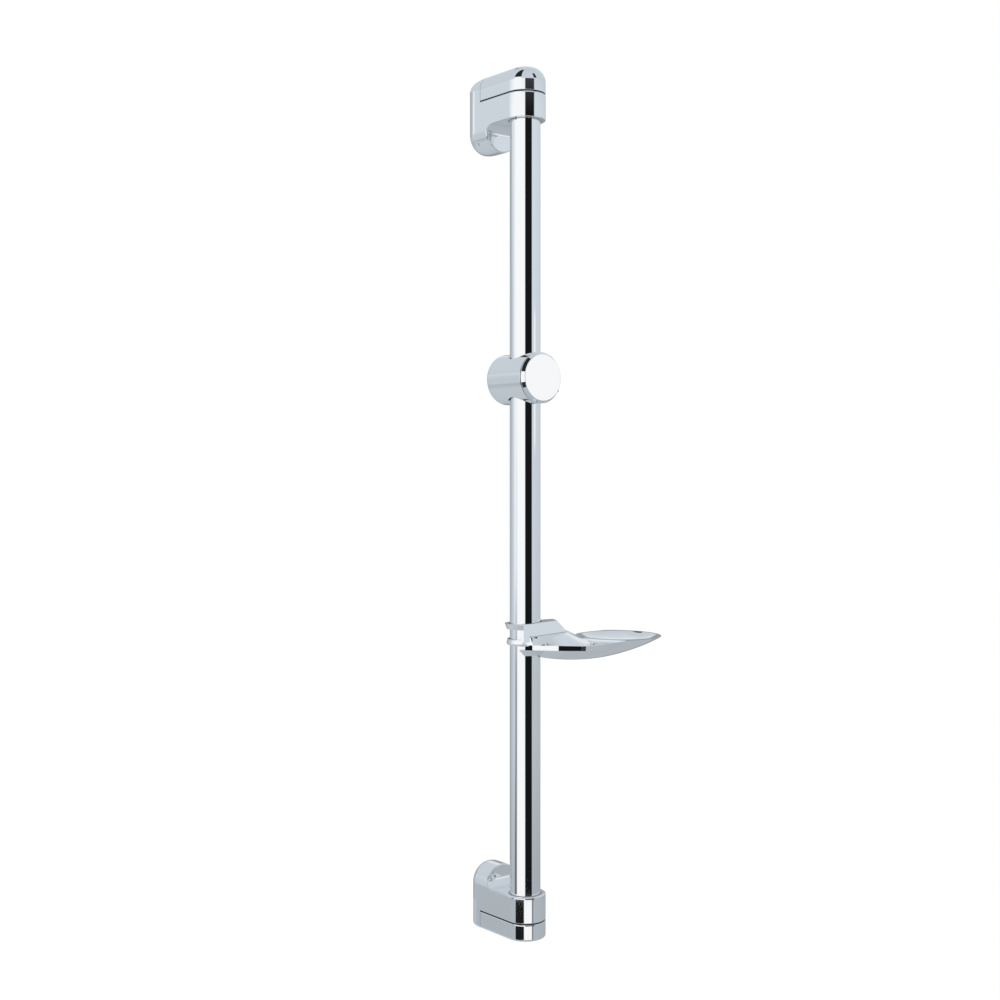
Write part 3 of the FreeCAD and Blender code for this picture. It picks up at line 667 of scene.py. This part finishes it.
def makeBracket(side):
    s = bracketSet
    end = s["ends"][side]
    up = end["up"]
    low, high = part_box(side + "_bracket")
    half = (high.x - low.x) / 2
    tip = low.z if up > 0 else high.z
    armFace = abs(tip) + end["tongue"]
    grids = [(toEnd(grid, armFace, up), closed) for grid, closed in bracketGrids(end, half)]
    piece = makePiece(side + "Bracket", grids)
    socket = rod("socket", s["socket"], -s["edge"], s["socketDepth"], (0, axisY, up * armFace), (0, 0, up))
    combine(piece, socket, "DIFFERENCE")
    screwPlace = (0, 0, up * (armFace + s["screwLevel"]))
    hole = rod("hole", s["screwHole"], -2 * s["plate"], s["plate"], screwPlace, (0, 1, 0), segments=48)
    combine(piece, hole, "DIFFERENCE")
    weepPlace = (0, -s["weepFromWall"], up * (armFace - s["weepReach"]))
    weep = rod("weep", s["weepHole"], half - s["weepDepth"], half + s["weepDepth"],
               weepPlace, (-up, 0, 0), segments=32)
    combine(piece, weep, "DIFFERENCE")
    dressPiece(piece, "rail", "chrome_cast", [side + "_bracket"])
    # Painted shade: the groove's floor and rim on the bracket, and the cover's underside, turn near-black
    armTop = armFace + s["arm"]
    paintGrooveShade(piece, armTop - s["levelMargin"], armTop + s["groove"] + 2 * s["lap"])
    cover = makePiece(side + "Cover", [(toEnd(coverGrid(end, half), armFace, up), True)])
    dressPiece(cover, "rail", "chrome_cover", [side + "_cap"])
    paintGrooveShade(cover, armTop, armTop + s["groove"] + s["levelMargin"])


for side in bracketSet["ends"]:
    makeBracket(side)
print("brackets made")

# Slider: barrel and knob, measured from the tube's axis towards the wall
sliderSet = {
    "backRound": 4.0 * mm,
    "frontBevel": 0.5 * mm,
    "gap": 0.8 * mm,           # room for the washer
    "washerInset": 0.3 * mm,
    "washerHole": 6.85 * mm,
    "air": 0.05 * mm,          # between washer and knob
    "bore": 13.7 * mm,
    "boreSegments": 160,
    "seat": 17.0 * mm,         # flat for the cradle
    "seatRadius": 10.5 * mm,
    "seatBack": 14.0 * mm,
    "knobChamfer": 1.7 * mm,
    "knobLean": 55.0,          # of the chamfer, degrees from the face's direction
    "knobRound": 0.5 * mm,
    "knobRim": 0.5 * mm,       # straight part of the rim
    "segments": 192,
}


# Barrel, knob and washer are profiles turned round the barrel's axis: a quarter circle at the barrel's
# back, and on the knob a cone between two small rounds. The bore and the cradle's flat are cut out.
def makeSlider():
    s = sliderSet
    low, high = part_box("slider_barrel")
    middle = (low.z + high.z) / 2
    radius = (high.z - low.z) / 2
    back = high.y - axisY
    knobLow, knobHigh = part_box("clamp_knob")
    chamfer, soft, slope = s["knobChamfer"], s["knobRound"], s["knobLean"] - 90
    face = knobLow.y - axisY
    bendStart = face + soft + chamfer * math.tan(math.radians(s["knobLean"]))
    knobBack = min(bendStart + s["knobRim"], knobHigh.y - axisY)
    front = knobBack + s["gap"]
    centre = (0, axisY, middle)

    def turnedPiece(name, profile):
        return makePiece(name, [(turned(profile, centre, (0, 1, 0), s["segments"]), True)])

    backRound, bevel = s["backRound"], s["frontBevel"]
    profile = [(0, back)] + bend(radius - backRound, back - backRound, backRound, 90, 0, count=14)
    profile += bend(radius - bevel, front + bevel, bevel, 0, -90, count=6) + [(0, front)]
    barrel = turnedPiece("sliderBarrel", profile)
    bore = rod("bore", s["bore"], -2 * radius, 2 * radius, centre, (0, 0, 1), s["boreSegments"])
    combine(barrel, bore, "DIFFERENCE")
    seatCentre = (0, axisY + s["seatBack"], middle)
    combine(barrel, rod("seat", s["seatRadius"], s["seat"], 2 * radius, seatCentre, (1, 0, 0)), "DIFFERENCE")
    dressPiece(barrel, "slider", "chrome_slider", ["slider_barrel"])
    profile = [(0, knobBack), (radius - bevel / 2, knobBack), (radius, knobBack - bevel / 2)]
    profile += bend(radius - soft, bendStart, soft, 0, slope, count=4)
    profile += bend(radius - chamfer - soft, face + soft, soft, slope, -90, count=6) + [(0, face)]
    dressPiece(turnedPiece("clampKnob", profile), "knob", "chrome_slider", ["clamp_knob"])
    rim, hole, under = radius - s["washerInset"], s["washerHole"], knobBack + s["air"]
    profile = [(hole, front), (rim, front), (rim, under), (hole, under), (hole, front)]
    dressPiece(turnedPiece("knobWasher", profile), "slider", "black_plastic", ["knob_washer"])


makeSlider()
print("slider made")

# Soap dish: u runs from the tube's axis out to the tip, v to the near side, heights are from the rim
dishSet = {
    "swing": 62.4,             # degrees from the room towards +x
    "ring": 14.8 * mm,
    "bore": 13.3 * mm,
    "tray": 74.0 * mm,         # centre of the round end
    "trayRadius": 39.6 * mm,
    "start": -4.96 * mm,       # where the sides leave the ring
    "depth": 19.0 * mm,
    "tubeDepth": 13.7 * mm,    # keel beside the tube
    "keelStart": 40.0 * mm,
    "keelArc": 157.0 * mm,
    "bowl": 79.0 * mm,
    "bowlRadius": 32.0 * mm,
    "bowlDepth": 9.5 * mm,
    "band": 4.9 * mm,          # the edge's drop beside the neck
    "edgeRise": (40.0 * mm, 80.0 * mm),
    "deckStart": 1.0 * mm,
    "deckRise": 3.8 * mm,
    "deckTop": 33.0 * mm,
    "deckEnd": 47.0 * mm,
    "footHalf": 15.5 * mm,
    "footRound": 0.9 * mm,     # hollow along the neck's foot
    "crown": (1.0, 3.0),       # how full the slope to the edge is, beside the neck and beside the bowl
    "crownRise": (28.0 * mm, 52.0 * mm),
    "grooveLow": 8.9 * mm,
    "grooveDepth": 4.0 * mm,
    "grooveBend": 23.5 * mm,
    "grooveSlope": 0.05,       # of the groove's wall past its bend
    "grooveEnd": 43.0 * mm,
    "grooveRun": 0.3 * mm,     # the groove's end wall
    "endReach": 1.5,           # end wall's faces that get painted shade: runs from the groove's end, and how far they face back
    "endFacing": 0.7,
    "lip": 0.8 * mm,
    "lipEnd": 84.0 * mm,       # where the flank under the edge has run out
    "lipIn": 1.8 * mm,
    "lipFade": 10.0 * mm,      # half width under which the lip closes up to the edge
    "skirtTop": 15.3 * mm,     # skirt round the tube, under the groove
    "skirtFoot": 13.9 * mm,
    "skirtEdge": (-2.6 * mm, -8.5 * mm),  # its end at the foot and at the top
    "ringLow": 5.9 * mm,
    "ringHigh": 1.0 * mm,
    "ringBelly": 4.4 * mm,
    "ringShape": (-0.6 * mm, 0.4 * mm, -0.4 * mm),  # lower ring's foot, belly and head, from "ring"
    "neckStart": -4.6 * mm,
    "neckHalf": 14.8 * mm,     # half width beside the tube, at half height
    "neckTaper": 0.3,
    "neckLean": 0.7 * mm,      # foot and top from the half height
    "neckBackTop": 12.0 * mm,
    "neckFrontTop": 13.8 * mm,
    "neckFlat": 25.0 * mm,
    "neckEnd": 38.0 * mm,
    "neckEdge": 0.5 * mm,
    "sleeveFoot": 14.6 * mm,
    "sleeveHead": 13.65 * mm,
    "ringTop": 11.5 * mm,
    "ringHeight": 4.5 * mm,
    "ringFlare": 1.8 * mm,
    "window": -5.9 * mm,
    "slotWidth": 3.0 * mm,
    "slotLength": 24.0 * mm,
    "slotPitch": 8.0 * mm,
    "slots": 3,
    "slotSegments": 32,
    "slotTurn": 0.001,         # radians that keep points off the line between a slot's two ends
    "segments": 120,
    "sharp": 25.0,             # degrees
    "startRows": 22,           # rows along u: to the groove's bend, to its end, over bowl and tip
    "grooveRows": 18,
    "bowlRows": 41,
    "tipRows": 25,
    "topColumns": 18,          # columns across: deck or bowl, hollow, slope and hull
    "hollowSteps": 6,
    "slopeSteps": 14,
    "hullColumns": 22,
    "neckRows": (20, 12),      # up to the flat's end, and down
}


# Half width of the dish's plan: two straight sides tangent to the ring and to the round end
def planHalf(u):
    s = dishSet
    lean = math.asin((s["trayRadius"] - s["ring"]) / s["tray"])
    straight = (s["ring"] + u * math.sin(lean)) / math.cos(lean)
    inCircle = np.sqrt(np.clip(s["trayRadius"] ** 2 - (u - s["tray"]) ** 2, 0, None))
    return np.where(u < s["tray"] - s["trayRadius"] * math.sin(lean), straight, inCircle)


# Dish without its neck, as closed sections across u. From the middle of the top outwards: deck or
# bowl (a ball's surface), a full slope down to the edge, the groove under the edge, and a parabola
# from the groove's lip down to the keel, which rises to the tip along a circle.
def leafGrid():
    s = dishSet
    bowlRun = s["bowl"] - s["bowlRadius"] * np.cos(np.linspace(0, np.pi, s["bowlRows"]))
    tipRun = s["tray"] + s["trayRadius"] * np.sin(np.linspace(0, np.pi / 2, s["tipRows"]))
    u = np.concatenate([np.linspace(s["start"], s["grooveBend"], s["startRows"]),
                        np.linspace(s["grooveBend"], s["grooveEnd"], s["grooveRows"]),
                        s["grooveEnd"] + s["grooveRun"] * np.array([0.5, 1]), bowlRun, tipRun])
    u = np.unique(np.round(u, 6))[:, None]
    plan = planHalf(u)
    edge = -s["band"] * (1 - smooth(u, *s["edgeRise"]))
    # deck and bowl
    deckFall = 1 - smooth(u, s["deckTop"], s["deckEnd"])
    deckClimb = s["deckStart"] + (s["deckRise"] - s["deckStart"]) * u / s["deckTop"]
    deck = np.where(u < s["deckTop"], deckClimb, s["deckRise"] * deckFall)
    bowlHalf = np.sqrt(np.clip(s["bowlRadius"] ** 2 - (u - s["bowl"]) ** 2, 0, None))
    bowlStart = s["bowl"] - s["bowlRadius"]
    deckHalf = s["footHalf"] - s["neckTaper"] * s["deckTop"]
    closing = deckHalf * np.clip((bowlStart - u) / (bowlStart - s["deckTop"]), 0, 1)
    foot = np.where(u < s["deckTop"], s["footHalf"] - s["neckTaper"] * u, closing)
    inner = np.minimum(np.maximum(foot, bowlHalf), np.maximum(plan - s["lip"], 0))
    hollow = np.minimum(s["footRound"] * deckFall, np.maximum(plan - inner - s["lip"], 0))
    vIn = inner * np.linspace(0, 1, s["topColumns"])[None, :]
    ball = (s["bowlRadius"] ** 2 + s["bowlDepth"] ** 2) / (2 * s["bowlDepth"])
    sunk = np.sqrt(np.clip(ball ** 2 - (u - s["bowl"]) ** 2 - vIn ** 2, 0, None)) - (ball - s["bowlDepth"])
    zIn = np.where(u < bowlStart, deck + hollow, -np.clip(sunk, 0, None))
    # hollow along the neck's foot, and the slope to the edge
    bendTurn = steps(np.pi / 2, s["hollowSteps"])[None, :]
    vBend = inner + hollow * (1 - np.cos(bendTurn))
    zBend = zIn[:, -1:] - hollow * np.sin(bendTurn)
    t = steps(1, s["slopeSteps"])[None, :]
    vOut = vBend[:, -1:] + (plan - vBend[:, -1:]) * t
    crown = s["crown"][0] + (s["crown"][1] - s["crown"][0]) * smooth(u, *s["crownRise"])
    zOut = zBend[:, -1:] + (edge - zBend[:, -1:]) * t ** crown
    # groove and lip
    bendWall = planHalf(np.array(s["grooveBend"])) - s["grooveDepth"]
    grooveWall = np.where(u < s["grooveBend"], plan - s["grooveDepth"],
                          bendWall + s["grooveSlope"] * (u - s["grooveBend"]))
    runOut = np.clip((u - s["grooveEnd"]) / s["grooveRun"], 0, 1)
    grooveWall = grooveWall + (plan - grooveWall) * runOut
    lipTop = edge - s["lip"]
    lip = lipTop + (lipTop + s["grooveLow"]) * (smooth(u, s["grooveEnd"], s["lipEnd"]) - 1)
    lipIn = s["lipIn"] * smooth(u, s["grooveBend"], s["grooveEnd"]) * np.clip(plan / s["lipFade"], 0, 1)
    lipHalf = np.maximum(plan - lipIn, 0)
    grooveFoot = grooveWall + (lipHalf - grooveWall) * runOut
    # hull
    keelRun = np.clip(u - s["keelStart"], 0, None)
    keel = -s["depth"] + s["keelArc"] - np.sqrt(s["keelArc"] ** 2 - keelRun ** 2)
    nearTube = np.clip((s["keelStart"] - u) / s["keelStart"], 0, None)
    keel = np.minimum(keel + (s["depth"] - s["tubeDepth"]) * nearTube ** 2, lip)
    t = np.linspace(1, 0, s["hullColumns"])[None, :]
    vLow = lipHalf * t
    zLow = keel + (lip - keel) * t ** 2
    v = np.hstack([vIn, vBend, vOut, grooveWall, grooveFoot, vLow])
    z = np.hstack([zIn, zBend, zOut, edge, lip, zLow])
    v = np.hstack([v, -v[:, -2:0:-1]])
    z = np.hstack([z, z[:, -2:0:-1]])
    return np.stack([np.broadcast_to(u, v.shape), v, z], -1)


# Block that tapers from one trapezium to another: each point is the blend of the two outlines
def taperGrid(low, high, columns=16, rows=14):
    side = np.linspace(0, 1, columns, endpoint=False)[:, None]
    rings = []
    for (startU, startHalf, startZ), (endU, endHalf, endZ) in (low, high):
        corner = np.array([[startU, -startHalf, startZ], [endU, -endHalf, endZ],
                           [endU, endHalf, endZ], [startU, startHalf, startZ]])
        rings.append(np.concatenate([a + (b - a) * side for a, b in zip(corner, np.roll(corner, -1, 0))]))
    share = np.linspace(0, 1, rows)[:, None, None]
    return rings[0] + (rings[1] - rings[0]) * share


# Neck as sections across u: each side leans from its foot in to the top edge, which is broken by a small
# flat, and both sides close in at the same taper; the top rises a little and then falls steeply.
def neckGrid():
    s = dishSet
    flatRows, fallRows = s["neckRows"]
    u = np.concatenate([np.linspace(s["neckStart"], s["neckFlat"], flatRows),
                        np.linspace(s["neckFlat"], s["neckEnd"], fallRows)[1:]])
    half = s["neckHalf"] - s["neckTaper"] * u
    slope = (s["neckFrontTop"] - s["neckBackTop"]) / s["neckFlat"]
    top = np.where(u < s["neckFlat"], s["neckBackTop"] + slope * np.clip(u, 0, None),
                   s["neckFrontTop"] * (s["neckEnd"] - u) / (s["neckEnd"] - s["neckFlat"]))
    lean = s["neckLean"] * 2 / s["neckFrontTop"]
    foot = half + s["neckLean"]
    edge = s["neckEdge"]
    base = np.full(u.shape, -s["band"] / 2)
    levels = [base] + [(top - edge) * share for share in (0.0, 0.25, 0.5, 0.75, 1.0)]
    side = [np.stack([foot - lean * level, level], -1) for level in levels]
    side += [np.stack([foot - lean * top - edge * share, top - edge * (1 - share) ** 2], -1)
             for share in (0.4, 1.0)]
    side = np.stack(side, 1)
    ring = np.concatenate([side, side[:, ::-1] * np.array([-1, 1])], 1)
    return np.concatenate([np.broadcast_to(u[:, None, None], ring.shape[:2] + (1,)), ring], -1)


# Outline of a drain slot through the bowl: two half circles, moved apart along u
def slotRing(offset):
    s = dishSet
    radius = s["slotWidth"] / 2
    turn = np.linspace(0, 2 * np.pi, s["slotSegments"], endpoint=False) - np.pi / 2 + s["slotTurn"]
    straight = np.where(np.cos(turn) > 0, 1, -1) * (s["slotLength"] / 2 - radius)
    along, across = s["bowl"] + straight + radius * np.cos(turn), offset + radius * np.sin(turn)
    return np.stack([along, across, 0 * turn], -1)


# Leaf and neck joined with the sleeve, two rings and a skirt, each turned round the tube's axis, less
# the window at the back, the bore and the drain slots
def makeDish():
    s = dishSet
    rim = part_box("soap_dish")[1].z - s["neckFrontTop"]
    angle = math.radians(s["swing"])
    out = np.array([math.sin(angle), -math.cos(angle), 0])
    near = np.array([-math.cos(angle), -math.sin(angle), 0])
    place = np.array([0, axisY, rim])
    up = np.array([0, 0, 1.0])
    reach = 2 * s["ring"]

    def placed(name, grid):
        return makePiece(name, [(place + grid @ np.stack([out, near, up]), True)])

    def block(start, ends, low, high):
        sides = [((start, reach, level), (end, reach, level)) for end, level in zip(ends, (low, high))]
        return placed("block", taperGrid(*sides))

    dish = placed("soapDish", leafGrid())
    combine(dish, placed("neck", neckGrid()), "UNION")
    ring, base, sleeveLow = s["ring"], s["ringTop"] - s["ringHeight"], -s["band"] / 2
    foot, belly, head = s["ringShape"]
    sleeve = [(0, sleeveLow), (s["sleeveFoot"], sleeveLow), (s["sleeveFoot"], 0),
              (s["sleeveHead"], s["ringTop"]), (0, s["ringTop"])]
    upperRing = [(0, base), (ring, base), (ring + s["ringFlare"], s["ringTop"]), (0, s["ringTop"])]
    lowerRing = [(0, -s["ringLow"]), (ring + foot, -s["ringLow"]), (ring + belly, -s["ringBelly"]),
                 (ring + head, -s["ringHigh"]), (0, -s["ringHigh"])]
    skirt = [(0, -s["grooveLow"]), (s["skirtTop"], -s["grooveLow"]), (s["skirtFoot"], -s["tubeDepth"]),
             (0, -s["tubeDepth"])]
    far = (2 * reach, 2 * reach)
    skirtLow, skirtHigh = -s["tubeDepth"] - s["lip"], -s["grooveLow"] + s["lip"]
    parts = [(sleeve, None), (upperRing, (s["neckStart"], far, -reach, reach)),
             (lowerRing, (0, far, -reach, reach)), (skirt, (-2 * reach, s["skirtEdge"], skirtLow, skirtHigh))]
    for profile, cutAway in parts:
        part = makePiece("ring", [(turned(profile, place, up, s["segments"]), True)])
        if cutAway:
            combine(part, block(*cutAway), "DIFFERENCE")
        combine(dish, part, "UNION")
    combine(dish, block(-reach, (s["window"], s["window"]), -s["ringHigh"], base), "DIFFERENCE")
    bore = rod("bore", s["bore"], -2 * s["depth"], 2 * s["depth"], place, up, s["segments"])
    combine(dish, bore, "DIFFERENCE")
    levels = np.array([-2 * s["depth"], 0])[:, None, None] * up
    for index in range(s["slots"]):
        offset = (index - (s["slots"] - 1) / 2) * s["slotPitch"]
        combine(dish, placed("slot", slotRing(offset) + levels), "DIFFERENCE")
    dressPiece(dish, "dish", "chrome_dish", ["soap_dish"], s["sharp"], False)
    # Painted shade on the groove's end wall: its faces that face back towards the tube take the near-black
    # finish
    centre, normal = (faceValues(dish.data, name) for name in ("center", "normal"))
    atEnd = np.abs((centre - place) @ out - s["grooveEnd"]) < s["grooveRun"] * s["endReach"]
    paintShadeOnFaces(dish.data, atEnd & (normal @ out < -s["endFacing"]))


makeDish()
print("dish made")

# Floor: pale, well below the rail's lower end
floorSet = {"drop": 0.06, "reach": 4.0, "colour": 0.94, "rough": 0.9, "glow": 0.85, "white": 1.04}


# A square, whose own pale colour shows through a white glow that only the camera sees
def makeFloor():
    s = floorSet
    corners = np.array([(-1, -1), (1, -1), (1, 1), (-1, 1)]) * s["reach"]
    points = np.column_stack([corners, np.full(len(corners), cadLow[2] - s["drop"])])
    mesh = bpy.data.meshes.new("floor")
    mesh.from_pydata(points.tolist(), [], [(0, 1, 2, 3)])
    floor = bpy.data.objects.new("floor", mesh)
    scene.collection.objects.link(floor)
    material = bpy.data.materials.new("paleFloor")
    material.use_nodes = True
    tree = material.node_tree
    shader = tree.nodes["Principled BSDF"]
    tone = s["colour"]
    shader.inputs["Base Color"].default_value = (tone, tone, tone, 1)
    shader.inputs["Roughness"].default_value = s["rough"]
    shader.inputs["Specular IOR Level"].default_value = 0.0
    glow = tree.nodes.new("ShaderNodeEmission")
    glow.inputs["Strength"].default_value = s["white"]
    path = tree.nodes.new("ShaderNodeLightPath")
    blend = tree.nodes.new("ShaderNodeMixShader")
    tree.links.new(mathNode(tree, "MULTIPLY", path.outputs["Is Camera Ray"], s["glow"]), blend.inputs[0])
    tree.links.new(shader.outputs["BSDF"], blend.inputs[1])
    tree.links.new(glow.outputs["Emission"], blend.inputs[2])
    tree.links.new(blend.outputs["Shader"], tree.nodes["Material Output"].inputs["Surface"])
    mesh.materials.append(material)
    floor.visible_glossy = False


makeFloor()
print("floor laid")
